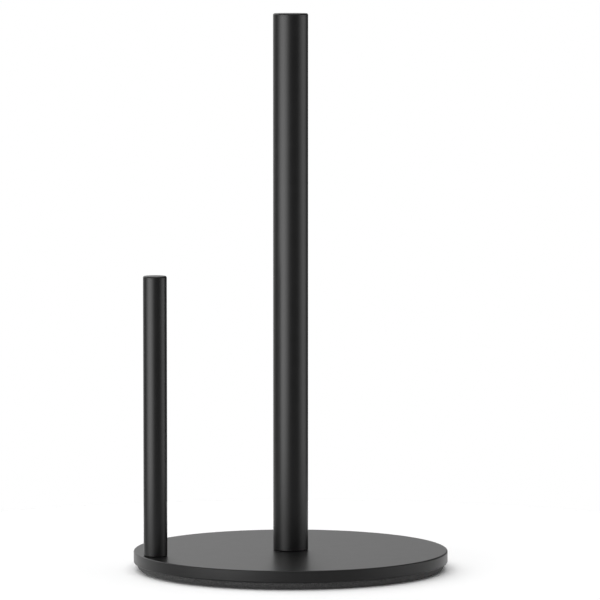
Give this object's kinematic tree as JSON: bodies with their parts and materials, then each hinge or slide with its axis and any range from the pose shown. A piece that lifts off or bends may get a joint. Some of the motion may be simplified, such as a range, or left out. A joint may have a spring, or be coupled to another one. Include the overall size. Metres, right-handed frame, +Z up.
{
  "type": "paper towel holder",
  "caption": "Free-standing paper towel holder: a heavy round base on a foam pad, a tall central pole for the roll and a short side bar that holds the loose sheet.",
  "frame": {"origin": "centre of the foot pad's underside, on the surface that the holder stands on", "axes": "+Z up along the pole; the side bar stands on -X; XZ is the plane of symmetry"},
  "size_m": [0.18, 0.18, 0.3182],
  "materials": {
    "powder_coat": "satin",
    "foam_pad": "matte",
    "adhesive_film": "matte",
    "plain_steel": "satin",
    "zinc_plate": "gloss"
  },
  "bodies": {
    "root": {"base_plate": "powder_coat", "foot_pad": "foam_pad", "pad_adhesive": "adhesive_film", "pole_tube": "powder_coat", "pole_cap": "powder_coat", "pole_threaded_plug": "plain_steel", "pole_screw": "zinc_plate", "bar_tube": "powder_coat", "bar_cap": "powder_coat", "bar_threaded_plug": "plain_steel", "bar_screw": "zinc_plate"}
  },
  "joints": []
}
